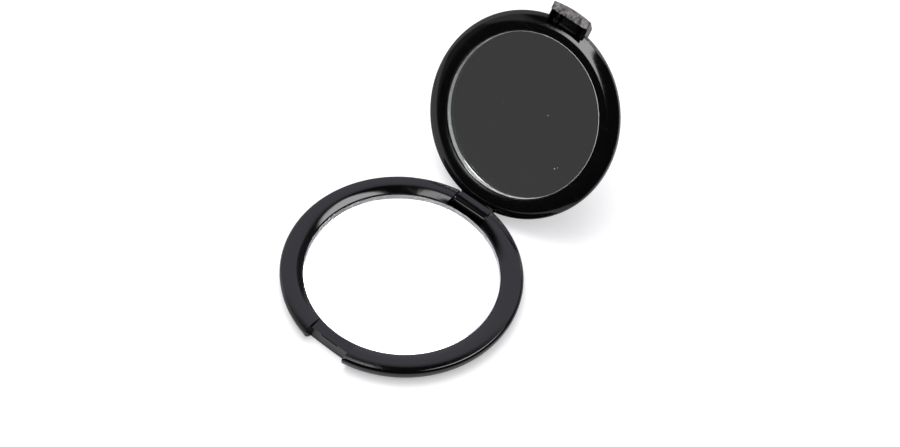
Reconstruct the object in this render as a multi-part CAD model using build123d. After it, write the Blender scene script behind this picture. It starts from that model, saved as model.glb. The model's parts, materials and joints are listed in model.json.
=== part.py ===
from build123d import *
from math import sqrt
import os

# A round folding compact: a base with a fixed mirror and a smaller lid with a second
# mirror, joined at the back by one steel pin and caught at the front by a lipped tab.
#
# Frame: millimetres, +Z up, X along the hinge pin, +Y towards the hinge, -Y towards
# the catch. The origin is the centre of the base's flat foot. The lid is drawn shut
# over the base and then turned about the pin to its open stop.

# ---------------------------------------------------------------- driving sizes
# Base outline
base_radius = 35.0
ring_top_z = 5.5
ring_width = 6.4
underside_round = 4.5
crown_inset = 2.7
crown_round = 11.0
crown_outer_round = 16.0
ring_outer_edge = 0.85
ring_inner_edge = 0.15

# Base shells
cover_floor = 1.2
cover_wall = 1.6
cover_inner_round = 2.0
seam_z = 4.2
frame_floor = 1.2
recess_wall = 1.2
ring_roof = 1.2
spigot_wall = 1.0
spigot_depth = 0.8
shell_clearance = 0.1
seam_groove_size = 0.06

# Mirrors
glass_thickness = 1.8
base_pad_thickness = 0.4
lid_pad_thickness = 0.3
base_glass_gap = 0.3
lid_glass_gap = 0.25
glass_bevel = 0.15
pad_inset = 1.5

# Front notch, its land and the catch bead
notch_width = 13.7
notch_depth = 3.5
notch_wall = 1.35
land_z = 4.7
bead_radius = 0.3
bead_length = 5.6
bead_z = 4.55

# Hinge
pin_inset = 2.94
pin_z = 3.54
pin_radius = 0.6
pin_end_inset = 0.2
running_clearance = 0.05
knuckle_width = 11.3
knuckle_side_gap = 0.6
ear_width = 5.25
hinge_edge_width = 2.4
barrel_radius = 1.6
web_radius = 1.8
web_inset = 0.53
web_rise = 0.47
knuckle_shelf_length = 2.78
knuckle_shelf_rise = 0.53
knuckle_root_depth = 1.4
knuckle_root_inset = 1.45
open_angle = 125.35

# Lid outline; depths are measured behind the lid mirror's face
lid_radius = 30.55
lid_ring_width = 5.85
lid_lift = 0.05
lid_crown_inset = 3.5
lid_crown_height = 0.55
lid_crown_round = 25.0
lid_front_edge = 0.6
lid_back_edge = 2.4
lid_inner_edge = 0.1
lid_shoulder = 0.6
lid_wall = 0.6
lid_dome = 0.9

# Lid shells
lid_seam_depth = 1.5
lid_frame_floor = 0.7
lid_recess_wall = 1.2
lid_roof = 1.1
lid_cover_wall = 1.5
lid_cover_inner_round = 1.0
lid_spigot_wall = 0.9
lid_spigot_depth = 0.7

# Latch tab on the lid
tab_width = 12.7
tab_inset = 0.05
tab_root_inset = 3.75
tab_side_height = 0.3
tab_lip_height = 0.9
tab_corner = 0.6
tab_taper = 2.3
tab_edge_height = 0.5
tab_side_wall = 0.45
tab_cover_gap = 0.1
pocket_inset = 2.55
pocket_depth = 1.9
lip_gap = 0.5
gusset_spacing = 6.8
gusset_wall = 0.5
gusset_drop = 0.4

# ---------------------------------------------------------------- worked-out sizes
opening_radius = base_radius - ring_width
crown_at = base_radius - crown_inset
foot_radius = base_radius - underside_round
recess_z = cover_floor + frame_floor
channel_radius = opening_radius + recess_wall
channel_roof_z = ring_top_z - ring_roof
cover_inner_radius = base_radius - cover_wall
spigot_radius = cover_inner_radius - shell_clearance
notch_y = base_radius - notch_depth
lip_y = notch_y + lip_gap
pin_y = base_radius - pin_inset
slot_half = knuckle_width / 2 + knuckle_side_gap
ear_end = slot_half + ear_width
hinge_edge_radius = base_radius - hinge_edge_width
lid_z = ring_top_z + lid_lift
lid_opening_radius = lid_radius - lid_ring_width
lid_crown_at = lid_radius - lid_crown_inset
lid_wall_end = lid_shoulder + lid_wall
lid_recess_depth = glass_thickness + lid_pad_thickness
lid_floor_depth = lid_recess_depth + lid_frame_floor
lid_channel_radius = lid_opening_radius + lid_recess_wall
lid_roof_depth = lid_roof - lid_crown_height
lid_cover_inner_radius = lid_radius - lid_cover_wall
lid_spigot_radius = lid_cover_inner_radius - shell_clearance
pocket_radius = lid_radius - pocket_inset
far = 3 * base_radius


# ---------------------------------------------------------------- drawing helpers
def disc(radius, z_low, z_high):
    """Solid disc about Z between two heights."""
    centred = (Align.CENTER, Align.CENTER, Align.MIN)
    return Pos(0, 0, z_low) * Cylinder(radius, z_high - z_low, align=centred)


def tube(inner, outer, z_low, z_high):
    """Ring about Z between two radii and two heights."""
    return disc(outer, z_low, z_high) - disc(inner, z_low, z_high)


def block(x_low, x_high, y_low, y_high, z_low, z_high):
    """Box between two corners."""
    corner = (Align.MIN, Align.MIN, Align.MIN)
    return Pos(x_low, y_low, z_low) * Box(x_high - x_low, y_high - y_low, z_high - z_low, align=corner)


def bar_along_x(radius, length, y, z):
    """Round bar along X, centred on the middle plane."""
    return Pos(0, y, z) * Rot(0, 90, 0) * Cylinder(radius, length)


def revolved(*edges):
    """Solid of revolution about Z from a closed outline of (radius, height) edges."""
    return revolve(Plane.XZ * make_face(edges), Axis.Z)


def between(centre, target, radius):
    """Point of a circle on the line from its centre towards a target."""
    step = Vector(target[0] - centre[0], target[1] - centre[1]).normalized() * radius
    return (centre[0] + step.X, centre[1] + step.Y)


def arc(centre, radius, start, end):
    """Shorter arc of a circle between two of its points."""
    middle = ((start[0] + end[0]) / 2, (start[1] + end[1]) / 2)
    return ThreePointArc(start, between(centre, middle, radius), end)


def seam_groove(radius, z):
    """Shallow V groove where two shells meet."""
    size = seam_groove_size
    v_shape = Polyline((radius + size, z - size), (radius - size, z), (radius + size, z + size), close=True)
    return revolved(v_shape)


def bevelled_disc(radius, z_low, z_high):
    """Glass disc with both rims ground off."""
    glass = disc(radius, z_low, z_high)
    return chamfer(glass.edges().filter_by(GeomType.CIRCLE), glass_bevel)


# ---------------------------------------------------------------- base
def base_outline():
    """Whole base: foot, rounded underside, wall, crowned ring and mirror recess."""
    crest = (crown_at, ring_top_z)
    outer_crown = (crown_at, ring_top_z - crown_outer_round)
    inner_crown = (crown_at, ring_top_z - crown_round)
    outer_at = base_radius - ring_outer_edge
    inner_at = opening_radius + ring_inner_edge
    outer_rise = sqrt((crown_outer_round - ring_outer_edge) ** 2 - (outer_at - crown_at) ** 2)
    inner_rise = sqrt((crown_round - ring_inner_edge) ** 2 - (inner_at - crown_at) ** 2)
    outer = (outer_at, outer_crown[1] + outer_rise)
    inner = (inner_at, inner_crown[1] + inner_rise)
    outer_top = between(outer_crown, outer, crown_outer_round)
    inner_top = between(inner_crown, inner, crown_round)
    under = (foot_radius, underside_round)
    return revolved(
        Line((0, 0), (foot_radius, 0)),
        arc(under, underside_round, (foot_radius, 0), (base_radius, underside_round)),
        Line((base_radius, underside_round), (base_radius, outer[1])),
        arc(outer, ring_outer_edge, (base_radius, outer[1]), outer_top),
        arc(outer_crown, crown_outer_round, outer_top, crest),
        arc(inner_crown, crown_round, crest, inner_top),
        arc(inner, ring_inner_edge, inner_top, (opening_radius, inner[1])),
        Polyline((opening_radius, inner[1]), (opening_radius, recess_z), (0, recess_z), (0, 0)),
    )


def cover_space(clearance):
    """Room inside the bottom cover, drawn in by a clearance at its wall."""
    wall = cover_inner_radius - clearance
    centre = (wall - cover_inner_round, cover_floor + cover_inner_round)
    corner_start = (centre[0], cover_floor)
    corner_end = (wall, centre[1])
    return revolved(
        Polyline(corner_end, (wall, far), (0, far), (0, cover_floor), corner_start),
        arc(centre, cover_inner_round, corner_start, corner_end),
    )


def notch_cut():
    """Room for the lid's tab: open at the front and down to the table, with a flat land."""
    half = notch_width / 2
    front = block(-half, half, -far, -notch_y, -far, far)
    return front + block(-half, half, -far, 0, land_z, far)


def slot_cut():
    """Room for the lid's knuckle between the ears, outside the mirror recess."""
    return block(-slot_half, slot_half, 0, far, -far, far) - disc(opening_radius, -far, far)


def hinge_room():
    """Room the bottom cover leaves for the frame's hinge ears."""
    half = ear_end + shell_clearance
    inside = block(-half, half, 0, far, cover_floor, far) - disc(channel_radius, 0, far)
    return inside + (block(-half, half, 0, far, -far, far) - disc(hinge_edge_radius, -far, far))


def base_seam_groove():
    below = underside_round - seam_z
    return seam_groove(foot_radius + sqrt(underside_round**2 - below**2), seam_z)


def make_base_frame(envelope):
    rim = (envelope & disc(far, seam_z, far)) - tube(channel_radius, spigot_radius - spigot_wall, 0, channel_roof_z)
    well = tube(opening_radius, channel_radius, cover_floor, seam_z) + disc(opening_radius, cover_floor, recess_z)
    spigot = tube(spigot_radius - spigot_wall, spigot_radius, seam_z - spigot_depth, seam_z)
    half = notch_width / 2 + notch_wall
    backing = block(-half, half, -far, -notch_y + notch_wall, 0, channel_roof_z) & cover_space(shell_clearance)
    ears = envelope & block(-ear_end, ear_end, channel_radius / 2, far, 0, far)
    ears -= disc(hinge_edge_radius + shell_clearance, -far, cover_floor)
    ears -= disc(opening_radius, -far, far)
    frame = rim + well + spigot + (backing - disc(opening_radius, 0, far)) + ears
    frame -= slot_cut() + notch_cut() + base_seam_groove()
    frame -= bar_along_x(pin_radius, 2 * ear_end, pin_y, pin_z)
    bead = bar_along_x(bead_radius, bead_length, -notch_y, bead_z)
    return frame + bead


def make_base_cover(envelope):
    shell = (envelope & disc(far, 0, seam_z)) - cover_space(0)
    return shell - (hinge_room() + notch_cut() + base_seam_groove())


def make_hinge_pin():
    return bar_along_x(pin_radius, 2 * (ear_end - pin_end_inset), pin_y, pin_z)


# ---------------------------------------------------------------- lid, drawn shut
def lid_point(radius, depth):
    """Point of the shut lid at a radius and a depth behind its mirror's face."""
    return (radius, lid_z + depth)


def lid_disc(radius, near, deep):
    return disc(radius, lid_z + near, lid_z + deep)


def lid_tube(inner, outer, near, deep):
    return tube(inner, outer, lid_z + near, lid_z + deep)


def lid_block(half_width, y_low, y_high, near, deep):
    return block(-half_width, half_width, y_low, y_high, lid_z + near, lid_z + deep)


def lid_outline():
    """Whole lid: mirror recess, crowned ring, rounded rim and domed back."""
    crest = lid_point(lid_crown_at, -lid_crown_height)
    inner_crown = (lid_crown_at, crest[1] + lid_crown_round)
    inner_at = lid_opening_radius + lid_inner_edge
    inner_drop = sqrt((lid_crown_round - lid_inner_edge) ** 2 - (lid_crown_at - inner_at) ** 2)
    inner = (inner_at, inner_crown[1] - inner_drop)
    inner_top = between(inner_crown, inner, lid_crown_round)
    front = lid_point(lid_radius - lid_front_edge, lid_shoulder)
    run = front[0] - crest[0]
    drop = front[1] - crest[1]
    outer_round = (run**2 + drop**2 - lid_front_edge**2) / (2 * (drop - lid_front_edge))
    outer_crown = (lid_crown_at, crest[1] + outer_round)
    front_top = between(outer_crown, front, outer_round)
    wall_start = lid_point(lid_radius, lid_shoulder)
    wall_end = lid_point(lid_radius, lid_wall_end)
    back = lid_point(lid_radius - lid_back_edge, lid_wall_end)
    back_end = (back[0], back[1] + lid_back_edge)
    dome_round = (back_end[0] ** 2 + lid_dome**2) / (2 * lid_dome)
    top = (0, back_end[1] + lid_dome)
    dome = (0, top[1] - dome_round)
    recess = lid_point(0, lid_recess_depth)
    return revolved(
        Polyline(top, recess, (lid_opening_radius, recess[1]), (lid_opening_radius, inner[1])),
        arc(inner, lid_inner_edge, (lid_opening_radius, inner[1]), inner_top),
        arc(inner_crown, lid_crown_round, inner_top, crest),
        arc(outer_crown, outer_round, crest, front_top),
        arc(front, lid_front_edge, front_top, wall_start),
        Line(wall_start, wall_end),
        arc(back, lid_back_edge, wall_end, back_end),
        arc(dome, dome_round, back_end, top),
    )


def lid_cover_space():
    """Room inside the lid's back cover."""
    wall = lid_cover_inner_radius
    top_z = lid_z + lid_floor_depth
    centre = (wall - lid_cover_inner_round, top_z - lid_cover_inner_round)
    return revolved(
        Polyline((wall, centre[1]), (wall, -far), (0, -far), (0, top_z), (centre[0], top_z)),
        arc(centre, lid_cover_inner_round, (centre[0], top_z), (wall, centre[1])),
    )


def tab_outside():
    """Round outside of the tab: upright at its lip, then leaning in to the lid's back."""
    reach = base_radius - tab_inset
    lean_from = lid_z - tab_lip_height + tab_edge_height
    back = lid_z + lid_floor_depth
    return revolved(
        Polyline((0, 0), (reach, 0), (reach, lean_from), (reach - tab_taper, back), (0, back), close=True)
    )


def tab_body():
    """Block of the tab with its lip, before the pocket is cut."""
    half = tab_width / 2
    front = tab_inset - base_radius
    plate = lid_block(half, front, 0, -tab_side_height, lid_floor_depth)
    plate -= disc(lid_radius - tab_root_inset, 0, far)
    lip = lid_block(half, front, -lip_y, -tab_lip_height, lid_floor_depth)
    body = fillet((plate + lip).edges().filter_by(Axis.Z).group_by(Axis.Y)[0], tab_corner)
    return body & tab_outside()


def tab_pocket():
    """Pocket behind the lip, cut from the lid's ring and the tab."""
    half = tab_width / 2 - tab_side_wall
    return lid_block(half, -lip_y, 0, -far, pocket_depth) - disc(pocket_radius, -far, far)


def gussets():
    """Two sloping ribs that prop the lip from behind."""
    top = (-lip_y, lid_z + gusset_drop - tab_lip_height)
    bottom = (-lip_y, lid_z + pocket_depth)
    foot = (-pocket_radius, lid_z + pocket_depth)
    rib = extrude(Plane.YZ * make_face(Polyline(top, bottom, foot, close=True)), gusset_wall / 2, both=True)
    return [Pos(side * gusset_spacing / 2, 0, 0) * rib for side in (-1, 1)]


def knuckle():
    """Barrel on the pin and the web that carries it from the lid's ring."""
    shelf = (pin_y - knuckle_shelf_length, pin_z + knuckle_shelf_rise)
    root_low = (lid_radius - knuckle_root_inset, lid_z)
    root_high = lid_point(lid_radius - knuckle_root_inset, knuckle_root_depth)
    root_back = lid_point(lid_radius - lid_inner_edge, knuckle_root_depth)
    barrel = Pos(pin_y, pin_z) * Circle(barrel_radius)
    web = Pos(pin_y - web_inset, pin_z + web_rise) * Circle(web_radius)
    root = make_face(Polyline(shelf, root_low, root_high, root_back, close=True))
    section = make_hull((barrel + web).edges() + root.edges())
    solid = extrude(Plane.YZ * section, knuckle_width / 2, both=True)
    return solid - bar_along_x(pin_radius + running_clearance, far, pin_y, pin_z)


def make_lid_frame(envelope):
    channel = lid_tube(lid_channel_radius, lid_spigot_radius - lid_spigot_wall, lid_roof_depth, far)
    rim = (envelope & disc(far, 0, lid_z + lid_seam_depth)) - channel
    well = lid_tube(lid_opening_radius, lid_channel_radius, lid_roof_depth, lid_floor_depth)
    floor = lid_disc(lid_opening_radius, lid_recess_depth, lid_floor_depth)
    spigot_end = lid_seam_depth + lid_spigot_depth
    spigot = lid_tube(lid_spigot_radius - lid_spigot_wall, lid_spigot_radius, lid_roof_depth, spigot_end)
    frame = rim + well + floor + spigot - seam_groove(lid_seam_radius(), lid_z + lid_seam_depth)
    frame += tab_body()
    return frame - tab_pocket() + gussets() + knuckle()


def lid_seam_radius():
    """Outer radius of the lid at its seam."""
    return lid_radius - lid_back_edge + sqrt(lid_back_edge**2 - (lid_seam_depth - lid_wall_end) ** 2)


def make_lid_cover(envelope):
    shell = (envelope & disc(far, lid_z + lid_seam_depth, far)) - lid_cover_space()
    tab_half = tab_width / 2 + tab_cover_gap
    tab_room = lid_block(tab_half, -far, tab_root_inset - lid_radius, -far, lid_floor_depth + tab_cover_gap / 2)
    return shell - (tab_room + seam_groove(lid_seam_radius(), lid_z + lid_seam_depth))


def opened(shape):
    """Turn a part of the lid about the pin, from shut to its open stop."""
    return shape.rotate(Axis((0, pin_y, pin_z), (1, 0, 0)), -open_angle)


# ---------------------------------------------------------------- parts
base_envelope = base_outline()
lid_envelope = lid_outline()
base_glass_radius = opening_radius - base_glass_gap
lid_glass_radius = lid_opening_radius - lid_glass_gap
base_glass_z = recess_z + base_pad_thickness

parts = {
    "base_frame": make_base_frame(base_envelope),
    "base_cover": make_base_cover(base_envelope),
    "base_mirror": bevelled_disc(base_glass_radius, base_glass_z, base_glass_z + glass_thickness),
    "base_mirror_pad": disc(base_glass_radius - pad_inset, recess_z, base_glass_z),
    "hinge_pin": make_hinge_pin(),
    "lid_frame": opened(make_lid_frame(lid_envelope)),
    "lid_cover": opened(make_lid_cover(lid_envelope)),
    "lid_mirror": opened(bevelled_disc(lid_glass_radius, lid_z, lid_z + glass_thickness)),
    "lid_mirror_pad": opened(lid_disc(lid_glass_radius - pad_inset, glass_thickness, lid_recess_depth)),
}

os.makedirs("parts", exist_ok=True)
for name, shape in parts.items():
    export_step(shape, f"parts/{name}.step")
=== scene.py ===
import json
from math import cos, pi, radians, sin

import bmesh
import bpy
from mathutils import Matrix, Vector


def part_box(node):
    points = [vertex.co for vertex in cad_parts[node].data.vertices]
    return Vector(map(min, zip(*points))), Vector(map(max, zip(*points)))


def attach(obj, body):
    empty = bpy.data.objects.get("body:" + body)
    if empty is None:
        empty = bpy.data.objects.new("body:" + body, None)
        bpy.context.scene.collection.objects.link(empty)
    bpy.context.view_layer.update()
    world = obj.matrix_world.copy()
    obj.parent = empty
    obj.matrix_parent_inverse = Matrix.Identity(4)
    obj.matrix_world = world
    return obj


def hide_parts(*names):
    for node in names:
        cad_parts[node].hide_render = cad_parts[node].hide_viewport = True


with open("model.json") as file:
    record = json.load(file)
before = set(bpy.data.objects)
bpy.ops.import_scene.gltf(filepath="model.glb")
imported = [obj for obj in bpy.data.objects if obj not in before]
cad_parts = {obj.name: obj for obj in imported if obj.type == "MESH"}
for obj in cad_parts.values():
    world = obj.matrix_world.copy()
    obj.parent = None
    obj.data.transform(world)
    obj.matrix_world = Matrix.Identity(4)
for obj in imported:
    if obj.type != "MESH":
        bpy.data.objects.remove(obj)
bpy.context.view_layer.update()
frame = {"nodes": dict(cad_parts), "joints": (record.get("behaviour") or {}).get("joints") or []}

# Places on the lid are given with the lid shut, level on the base, and this turns them open.
hinge = frame["joints"][0]
open_turn = radians(hinge["range_deg"][1])
axis_point = Vector(hinge["pos_m"])
shut_to_open = (
    Matrix.Translation(axis_point)
    @ Matrix.Rotation(-open_turn, 4, "X")
    @ Matrix.Translation(-axis_point)
)


# ---------------------------------------------------------------- node helpers
class Nodes:
    """Small wrapper for filling one node tree."""

    def __init__(self, tree):
        self.tree = tree
        self.tree.nodes.clear()

    def node(self, kind, **values):
        node = self.tree.nodes.new(kind)
        for key, value in values.items():
            setattr(node, key, value)
        return node

    def link(self, source, target):
        self.tree.links.new(source, target)

    def feed(self, value, target):
        """Link another node's output to an input, or set the input to a number or a colour."""
        if isinstance(value, bpy.types.NodeSocket):
            self.link(value, target)
        elif isinstance(value, tuple):
            target.default_value = (*value, 1.0)
        else:
            target.default_value = value

    def math(self, operation, first, second=0.0):
        node = self.node("ShaderNodeMath", operation=operation)
        self.feed(first, node.inputs[0])
        self.feed(second, node.inputs[1])
        return node.outputs[0]

    def chain(self, operation, first, *others):
        for other in others:
            first = self.math(operation, first, other)
        return first

    def sum(self, *values):
        return self.chain("ADD", *values)

    def times(self, *values):
        return self.chain("MULTIPLY", *values)

    def greatest(self, *values):
        return self.chain("MAXIMUM", *values)

    def ramp(self, source, low, high, to_low=0.0, to_high=1.0, kind="LINEAR"):
        """Map low..high of the source to to_low..to_high, held at both ends."""
        node = self.node("ShaderNodeMapRange", interpolation_type=kind)
        node.inputs["From Min"].default_value = low
        node.inputs["From Max"].default_value = high
        node.inputs["To Min"].default_value = to_low
        node.inputs["To Max"].default_value = to_high
        self.link(source, node.inputs["Value"])
        return node.outputs["Result"]

    def within(self, source, *edges):
        """1 where the source is inside every edge; an edge runs smoothly from 0 to 1."""
        return self.times(*[self.ramp(source, *edge, kind="SMOOTHSTEP") for edge in edges])

    def mix_colour(self, factor, first, second):
        node = self.node("ShaderNodeMix", data_type="RGBA")
        self.link(factor, node.inputs[0])
        self.feed(first, node.inputs[6])
        self.feed(second, node.inputs[7])
        return node.outputs[2]


class Shader(Nodes):
    """Node tree of one new material."""

    def __init__(self, name):
        self.material = bpy.data.materials.new(name)
        self.material.use_nodes = True
        super().__init__(self.material.node_tree)
        self.output = self.node("ShaderNodeOutputMaterial")
        self.object = self.node("ShaderNodeTexCoord").outputs["Object"]

    def noise(self, scale, detail=3.0, roughness=0.5, vector=None):
        node = self.node("ShaderNodeTexNoise")
        node.inputs["Scale"].default_value = scale
        node.inputs["Detail"].default_value = detail
        node.inputs["Roughness"].default_value = roughness
        self.link(vector or self.object, node.inputs["Vector"])
        return node.outputs["Fac"]

    def stretched(self, scale, rotation=(0, 0, 0)):
        node = self.node("ShaderNodeMapping")
        node.inputs["Scale"].default_value = scale
        node.inputs["Rotation"].default_value = rotation
        self.link(self.object, node.inputs["Vector"])
        return node.outputs["Vector"]

    def bump(self, height, strength, distance):
        node = self.node("ShaderNodeBump")
        node.inputs["Strength"].default_value = strength
        node.inputs["Distance"].default_value = distance
        self.link(height, node.inputs["Height"])
        return node.outputs["Normal"]

    def principled(self, **values):
        node = self.node("ShaderNodeBsdfPrincipled")
        for key, value in values.items():
            self.feed(value, node.inputs[key.replace("_", " ")])
        return node

    def finish(self, surface):
        self.link(surface.outputs[0], self.output.inputs["Surface"])
        return self.material


# ---------------------------------------------------------------- object helpers
def turns(steps):
    """Angles of a full circle in equal steps."""
    return [2 * pi * i / steps for i in range(steps)]


def add_object(name, data, place):
    made = bpy.data.objects.new(name, data)
    bpy.context.scene.collection.objects.link(made)
    made.matrix_world = place
    return made


# ---------------------------------------------------------------- materials
plastic_ior = 1.45
glass_ior = 1.52

gloss_black = (0.0011, 0.0010, 0.0013)
dust_on_black = (0.06, 0.058, 0.056)
dust_on_glass = (0.36, 0.35, 0.35)

scratch_edge = 0.04
scratch_roughness = 0.06
scratch_tone = 0.05
scratch_depth = 0.5

# Specks on the glass, one in a cell: cells to a metre, and a speck's largest share of its cell.
speck_cells = 260.0
speck_share = 0.06
specks_full = 0.78

# The rubbed face of the tab's lip, with the lid shut: each pair runs from untouched to rubbed.
rub_front = (0.0318, 0.0322)
rub_height = (0.0049, 0.0048)
rub_half_width = (0.00625, 0.0060)
rub_ragged = 0.0007
rub_dark = (0.012, 0.011, 0.012)
rub_pale = (0.30, 0.28, 0.29)
rub_roughness = 0.5
rub_relief = 3.0


def lip_rub(shader):
    """1 on the rubbed face of the tab's lip, and 0 elsewhere, with a ragged edge."""
    open_to_shut = shut_to_open.inverted()
    into_lid = shader.node("ShaderNodeMapping", vector_type="POINT")
    into_lid.inputs["Location"].default_value = open_to_shut.to_translation()
    into_lid.inputs["Rotation"].default_value = open_to_shut.to_euler()
    shader.link(shader.object, into_lid.inputs["Vector"])
    split = shader.node("ShaderNodeSeparateXYZ")
    shader.link(into_lid.outputs["Vector"], split.inputs[0])
    grain = shader.noise(scale=900.0, detail=4.0, roughness=0.65)
    ragged = shader.ramp(grain, 0.3, 0.7, to_low=-rub_ragged, to_high=rub_ragged)
    outward = shader.sum(shader.times(split.outputs["Y"], -1.0), ragged)
    front = shader.ramp(outward, *rub_front)
    height = shader.ramp(split.outputs["Z"], *rub_height)
    from_middle = shader.math("ABSOLUTE", split.outputs["X"])
    return shader.times(front, height, shader.ramp(from_middle, *rub_half_width))


def scratches(shader, stretch, rotation, level):
    """Fine scratches in one direction: noise drawn out long, and only its highest parts."""
    drawn_out = shader.stretched(stretch, rotation)
    streaks = shader.noise(scale=60.0, detail=2.0, roughness=0.6, vector=drawn_out)
    return shader.ramp(streaks, level, level + scratch_edge)


def black_plastic(name, turn=0.0, rubbed_lip=False):
    """Glossy black moulding with faint orange peel, handling haze, dust and fine scratches."""
    shader = Shader(name)
    peel = shader.noise(scale=900.0, detail=2.0)
    haze = shader.noise(scale=70.0, detail=4.0, roughness=0.6)
    dust = shader.noise(scale=5200.0, detail=2.0, roughness=0.7)
    scratched = shader.greatest(
        scratches(shader, (1.0, 40.0, 14.0), (0.4, 0.2, 0.6 + turn), 0.66),
        scratches(shader, (34.0, 1.0, 11.0), (0.1, 0.5, 0.3 + turn), 0.67),
    )
    haziness = shader.ramp(haze, 0.35, 0.75, to_low=0.05, to_high=0.09)
    roughness = shader.sum(haziness, shader.times(scratched, scratch_roughness))
    marks = shader.greatest(shader.ramp(dust, 0.79, 0.83), shader.times(scratched, scratch_tone))
    colour = shader.mix_colour(marks, gloss_black, dust_on_black)
    height = shader.math("SUBTRACT", peel, shader.times(scratched, scratch_depth))
    if rubbed_lip:
        rub = lip_rub(shader)
        wear = shader.noise(scale=700.0, detail=5.0, roughness=0.7)
        rubbed = shader.mix_colour(shader.ramp(wear, 0.35, 0.68), rub_dark, rub_pale)
        colour = shader.mix_colour(rub, colour, rubbed)
        roughness = shader.greatest(roughness, shader.times(rub, rub_roughness))
        height = shader.sum(height, shader.times(wear, rub_relief, rub))
    normal = shader.bump(height, strength=0.12, distance=0.00002)
    plastic = shader.principled(Base_Color=colour, Roughness=roughness, IOR=plastic_ior, Normal=normal)
    return shader.finish(plastic)


def pad_foam():
    """Dark closed-cell foam of the adhesive pads."""
    shader = Shader("pad_foam")
    cells = shader.noise(scale=2600.0)
    colour = shader.mix_colour(cells, (0.012, 0.012, 0.012), (0.03, 0.03, 0.03))
    normal = shader.bump(cells, strength=0.6, distance=0.0001)
    return shader.finish(shader.principled(Base_Color=colour, Roughness=0.9, Normal=normal))


def pin_steel():
    """Drawn steel wire, its grain along X."""
    shader = Shader("pin_steel")
    grain = shader.noise(scale=400.0, roughness=0.6, vector=shader.stretched((0.05, 3.0, 3.0)))
    colour = shader.mix_colour(grain, (0.48, 0.47, 0.46), (0.66, 0.65, 0.63))
    roughness = shader.ramp(grain, 0.3, 0.7, to_low=0.22, to_high=0.38)
    return shader.finish(shader.principled(Base_Color=colour, Metallic=1.0, Roughness=roughness))


def mirror_silver():
    """Silver coat seen through the glass, with faint handling haze."""
    shader = Shader("mirror_silver")
    haze = shader.noise(scale=40.0)
    colour = shader.mix_colour(haze, (0.97, 0.975, 0.98), (0.985, 0.985, 0.985))
    roughness = shader.ramp(haze, 0.3, 0.7, to_high=0.012)
    return shader.finish(shader.principled(Base_Color=colour, Metallic=1.0, Roughness=roughness))


def ground_edge():
    """Frosted rim of the glass, unevenly ground, with small bright chips."""
    shader = Shader("ground_edge")
    grind = shader.noise(scale=1800.0, detail=4.0, roughness=0.7)
    chips = shader.ramp(shader.noise(scale=700.0, roughness=0.6), 0.56, 0.64)
    ground = shader.mix_colour(grind, (0.58, 0.60, 0.60), (0.88, 0.90, 0.90))
    colour = shader.mix_colour(chips, ground, (0.95, 0.96, 0.96))
    normal = shader.bump(grind, strength=0.8, distance=0.0001)
    return shader.finish(shader.principled(Base_Color=colour, Roughness=0.6, Normal=normal))


def clear_face(name, specks_from):
    """Clear front of the mirror glass, with specks of dust: more where specks_from is lower."""
    shader = Shader(name)
    glass = shader.principled(
        Base_Color=(1.0, 1.0, 1.0), Roughness=0.0, IOR=glass_ior, Transmission_Weight=1.0
    )
    dust = shader.principled(Base_Color=dust_on_glass, Roughness=0.8)
    grains = shader.node("ShaderNodeTexVoronoi")
    grains.inputs["Scale"].default_value = speck_cells
    shader.link(shader.object, grains.inputs["Vector"])
    patches = shader.ramp(shader.noise(scale=320.0, detail=0.0), specks_from, specks_full)
    size = shader.times(patches, speck_share)
    inside = shader.math("LESS_THAN", grains.outputs["Distance"], size)
    mix = shader.node("ShaderNodeMixShader")
    for source, target in zip((inside, glass.outputs[0], dust.outputs[0]), mix.inputs):
        shader.link(source, target)
    return shader.finish(mix)


base_plastic = black_plastic("black_plastic")
lid_plastic = black_plastic("black_plastic_lid", turn=0.7, rubbed_lip=True)
foam = pad_foam()
steel = pin_steel()
silver = mirror_silver()
rim_glass = ground_edge()
base_face = clear_face("base_mirror_face", specks_from=0.66)
lid_face = clear_face("lid_mirror_face", specks_from=0.52)

cad_finish = {
    "base_frame": base_plastic,
    "base_cover": base_plastic,
    "base_mirror_pad": foam,
    "hinge_pin": steel,
    "lid_frame": lid_plastic,
    "lid_cover": lid_plastic,
    "lid_mirror_pad": foam,
}
for node, material in cad_finish.items():
    for slot in frame["nodes"][node].material_slots:
        slot.material = material


# ---------------------------------------------------------------- mirrors
glass_steps = 192
glass_bevel = 0.00005
# Left free between the silver and the pad, and between the shut lid's glass and the base's ring.
coat_gap = 0.00003
lid_lift = 0.00005

base_mirror_low, base_mirror_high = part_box("base_mirror")
glass_thickness = base_mirror_high[2] - base_mirror_low[2]
ring_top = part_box("base_frame")[1][2]


def mirror_glass(name, node, body, face, place):
    """Glass disc in a mirror's place: clear front towards local +Z, ground rim, silver back.

    It ends coat_gap short of the mirror's back, so that the silver isn't in the pad's face.
    """
    low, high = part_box(node)
    radius = (high[0] - low[0]) / 2
    back = coat_gap - glass_thickness
    flat = radius - glass_bevel
    profile = [(flat, 0.0), (radius, -glass_bevel), (radius, back + glass_bevel), (flat, back)]

    mesh = bpy.data.meshes.new(name)
    for material in (face, rim_glass, silver):
        mesh.materials.append(material)
    face_index, rim_index, silver_index = range(3)
    bm = bmesh.new()
    rings = [
        [bm.verts.new((r * cos(angle), r * sin(angle), z)) for angle in turns(glass_steps)]
        for r, z in profile
    ]
    bm.faces.new(rings[0]).material_index = face_index
    for upper, lower in zip(rings, rings[1:]):
        for i in range(glass_steps):
            j = (i + 1) % glass_steps
            side = bm.faces.new((upper[i], lower[i], lower[j], upper[j]))
            side.material_index = face_index if upper is rings[0] else rim_index
            side.smooth = True
    bm.faces.new(rings[-1][::-1]).material_index = silver_index
    bm.to_mesh(mesh)
    bm.free()

    piece = add_object(name, mesh, place)
    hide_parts(node)
    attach(piece, body)


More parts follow.
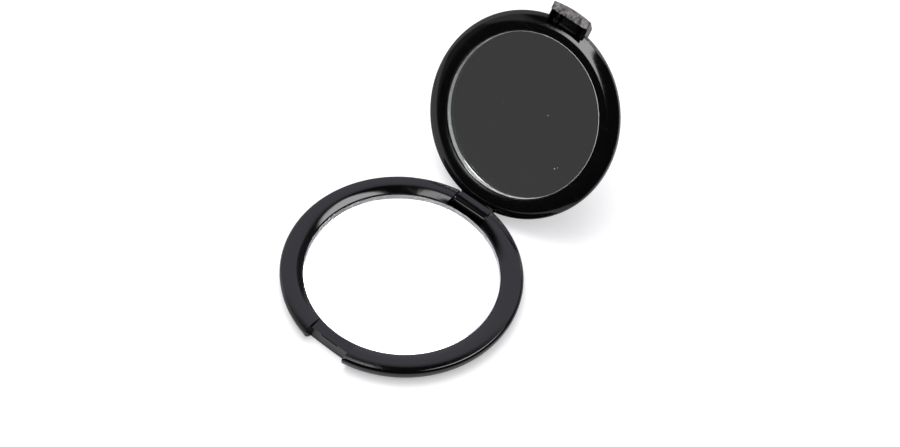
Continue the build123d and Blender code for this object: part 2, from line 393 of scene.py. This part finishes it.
face_up = Matrix.Translation((0, 0, base_mirror_high[2]))
face_down = Matrix.Translation((0, 0, ring_top + lid_lift)) @ Matrix.Rotation(pi, 4, "X")
mirror_glass("base_mirror_glass", "base_mirror", "base", base_face, face_up)
mirror_glass("lid_mirror_glass", "lid_mirror", "lid", lid_face, shut_to_open @ face_down)


# ---------------------------------------------------------------- middle of the lid's back
# The dome with the lid shut: the height of its middle, and its radius of curvature.
dome_top = 0.01005
dome_round = 0.4407
# The cap on it: its radius, how far it stands off, how deep its rim goes, and its mesh.
cap_reach = 0.006
cap_lift = 0.000008
cap_depth = 0.0001
cap_levels = 6
cap_steps = 72


def dome_middle():
    """Cap a hair above the dome's middle, where the solid's own mesh shades unevenly."""
    bm = bmesh.new()

    def put(r, angle, drop=0.0):
        z = dome_top - dome_round + ((dome_round + cap_lift) ** 2 - r * r) ** 0.5 - drop
        return bm.verts.new(shut_to_open @ Vector((r * cos(angle), r * sin(angle), z)))

    def put_ring(r, drop=0.0):
        return [put(r, angle, drop) for angle in turns(cap_steps)]

    apex = put(0.0, 0.0)
    rings = [put_ring(cap_reach * level / cap_levels) for level in range(1, cap_levels + 1)]
    under = put_ring(cap_reach, cap_depth)
    for i in range(cap_steps):
        j = (i + 1) % cap_steps
        bm.faces.new((apex, rings[0][i], rings[0][j]))
        for inner, outer in zip(rings, rings[1:] + [under]):
            bm.faces.new((inner[i], outer[i], outer[j], inner[j]))
    bm.faces.new(under[::-1])
    for face in bm.faces:
        face.smooth = True
    rim = set(rings[-1]) | set(under)
    for edge in bm.edges:
        edge.smooth = not rim.issuperset(edge.verts)

    mesh = bpy.data.meshes.new("lid_cover_middle")
    bm.to_mesh(mesh)
    bm.free()
    mesh.materials.append(lid_plastic)
    piece = add_object("lid_cover_middle", mesh, Matrix.Identity(4))
    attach(piece, "lid")


dome_middle()


# ---------------------------------------------------------------- floor
floor_half = 3.0
floor_glow = 0.30


def floor_material():
    """White sweep: lit, and with a little light of its own for camera rays and rays through glass."""
    shader = Shader("floor")
    lit = shader.principled(Base_Color=(0.80, 0.80, 0.82), Roughness=0.9, Specular_IOR_Level=0.1)
    glow = shader.node("ShaderNodeEmission")
    glow.inputs["Color"].default_value = (1.0, 1.0, 1.0, 1.0)
    path = shader.node("ShaderNodeLightPath")
    seen = shader.greatest(path.outputs["Is Camera Ray"], path.outputs["Is Transmission Ray"])
    shader.link(shader.times(seen, floor_glow), glow.inputs["Strength"])
    both = shader.node("ShaderNodeAddShader")
    shader.link(lit.outputs[0], both.inputs[0])
    shader.link(glow.outputs[0], both.inputs[1])
    return shader.finish(both)


def add_floor():
    mesh = bpy.data.meshes.new("floor")
    corners = [(x * floor_half, y * floor_half, 0) for x, y in ((-1, -1), (1, -1), (1, 1), (-1, 1))]
    mesh.from_pydata(corners, [], [(0, 1, 2, 3)])
    mesh.materials.append(floor_material())
    add_object("floor", mesh, Matrix.Identity(4))


add_floor()

# ---------------------------------------------------------------- studio
# The studio as gloss and glass reflect it. Its far side is where the camera looks, and its
# right side is the camera's right. A tilt is in degrees up from the far horizon, past 90 on
# the camera's side. A side is how much of a direction points right, and a height how much of
# it points up. Each edge is a pair: where a light is out, then where it is full.
far_side = Vector((-0.559, 0.829, 0.0)).normalized()
right_side = Vector((0.829, 0.559, 0.0)).normalized()

backdrop_level = 1.06
backdrop_tint = (1.02, 0.98, 1.14)
backdrop_top = (65.0, 57.0)
flag_side = (0.20, 0.27)
flag_tilt = (36.0, 42.0)
flag_shade = 0.85

bank_level = 9.5
bank_tilts = ((64.0, 68.0), (90.0, 86.0))
left_bank_share = 0.65
left_bank_sides = ((-0.04, -0.06), (-0.17, -0.13))
right_bank_sides = ((0.10, 0.14), (0.46, 0.42))

# The strip light lies along the plane that this direction is square to, a little off it.
strip_across = (far_side * 0.819 - right_side * 0.569 + Vector((0, 0, 0.077))).normalized()
strip_offset = 0.008
strip_width = (0.062, 0.042)
strip_sides = ((-0.25, -0.29), (-0.78, -0.755))
strip_height = (0.36, 0.395)

wall_side = (-0.84, -0.90)
wall_level = 0.2
low_wall_height = (0.18, 0.11)
low_wall_level = 1.0
high_wall_side = (-0.77, -0.81)
high_wall_height = (0.37, 0.42)
high_wall_level = 0.6
scrim_side = (-0.48, -0.56)
scrim_tilts = ((104.0, 96.0), (50.0, 58.0))
scrim_level = 1.2

dim_level = 0.036
dim_left_side = (-0.70, -0.74)
dim_left_level = 0.009

even_level = 0.74


def studio_world():
    """White for the camera, even light on matt surfaces, and the studio in gloss and glass.

    The studio has a bright backdrop with a flag at its right, two overhead banks, a slanting
    strip light, a wall with a scrim at the left, and a dark camera side.
    """
    world = bpy.data.worlds.new("studio")
    bpy.context.scene.world = world
    world.use_nodes = True
    nodes = Nodes(world.node_tree)
    ray = nodes.node("ShaderNodeTexCoord").outputs["Generated"]

    def along(direction):
        made = nodes.node("ShaderNodeVectorMath", operation="DOT_PRODUCT")
        nodes.link(ray, made.inputs[0])
        made.inputs[1].default_value = direction
        return made.outputs["Value"]

    side = along(right_side)
    height = along((0.0, 0.0, 1.0))
    tilt = nodes.times(nodes.math("ARCTAN2", height, along(far_side)), 180.0 / pi)

    flag = nodes.times(nodes.within(side, flag_side), nodes.within(tilt, flag_tilt))
    backdrop = nodes.times(
        nodes.within(tilt, backdrop_top), nodes.math("SUBTRACT", 1.0, nodes.times(flag, flag_shade))
    )

    off_strip = nodes.math("ABSOLUTE", nodes.math("SUBTRACT", along(strip_across), strip_offset))
    strip = nodes.times(
        nodes.within(off_strip, strip_width),
        nodes.within(side, *strip_sides),
        nodes.within(height, strip_height),
    )
    left_bank = nodes.times(nodes.within(side, *left_bank_sides), left_bank_share)
    both_banks = nodes.sum(left_bank, nodes.within(side, *right_bank_sides))
    lights = nodes.greatest(nodes.times(nodes.within(tilt, *bank_tilts), both_banks), strip)

    wall = nodes.within(side, wall_side)
    low_wall = nodes.times(wall, nodes.within(height, low_wall_height))
    high_wall = nodes.times(nodes.within(side, high_wall_side), nodes.within(height, high_wall_height))
    scrim = nodes.times(nodes.within(side, scrim_side), nodes.within(tilt, *scrim_tilts))
    left_wall = nodes.greatest(
        nodes.times(low_wall, low_wall_level),
        nodes.times(high_wall, high_wall_level),
        nodes.times(wall, wall_level),
        nodes.times(scrim, scrim_level),
    )

    dim_left = nodes.times(nodes.within(side, dim_left_side), dim_left_level)
    room = nodes.sum(
        nodes.times(backdrop, backdrop_level),
        nodes.times(lights, bank_level),
        left_wall,
        nodes.sum(dim_left, dim_level),
    )

    path = nodes.node("ShaderNodeLightPath")
    camera_ray = path.outputs["Is Camera Ray"]
    mirrored = nodes.greatest(path.outputs["Is Glossy Ray"], path.outputs["Is Transmission Ray"])
    other = nodes.math("SUBTRACT", 1.0, nodes.greatest(camera_ray, mirrored))
    strength = nodes.sum(camera_ray, nodes.times(mirrored, room), nodes.times(other, even_level))
    tint = nodes.mix_colour(nodes.times(mirrored, backdrop), (1.0, 1.0, 1.0), backdrop_tint)

    background = nodes.node("ShaderNodeBackground")
    nodes.link(tint, background.inputs["Color"])
    nodes.link(strength, background.inputs["Strength"])
    output = nodes.node("ShaderNodeOutputWorld")
    nodes.link(background.outputs[0], output.inputs["Surface"])


studio_world()


# ---------------------------------------------------------------- lamps
lamp_target = Vector((0, 0.02, 0))


def disc_lamp(name, place, size, power):
    """Round lamp aimed at the object, for its soft shadow. Gloss doesn't reflect it."""
    lamp = bpy.data.lights.new(name, "AREA")
    lamp.shape = "DISK"
    lamp.size = size
    lamp.energy = power
    turned = (lamp_target - Vector(place)).to_track_quat("-Z", "Y").to_matrix().to_4x4()
    made = add_object(name, lamp, Matrix.Translation(place) @ turned)
    made.visible_glossy = False


disc_lamp("key", (-0.25, 0.12, 0.95), size=0.8, power=4.4)
disc_lamp("fill", (0.0, -0.2, 1.0), size=0.9, power=2.2)

# ---------------------------------------------------------------- camera
# Where the camera is, and its right and back, all fitted to the photo's outlines.
camera_place = (0.18937, -0.25960, 0.44431)
camera_right = Vector((0.7746, 0.6287, 0.0688)).normalized()
camera_back = Vector((0.3420, -0.5079, 0.7906)).normalized()
camera_up = camera_back.cross(camera_right).normalized()
camera_right = camera_up.cross(camera_back).normalized()

lens = bpy.data.cameras.new("camera")
lens.lens = 76.0
lens.sensor_width = 36.0
lens.clip_start = 0.01
lens.clip_end = 20.0
camera_turn = Matrix((camera_right, camera_up, camera_back)).transposed().to_4x4()
camera = add_object("camera", lens, Matrix.Translation(camera_place) @ camera_turn)
bpy.context.scene.camera = camera
bpy.context.scene.view_settings.view_transform = "Standard"
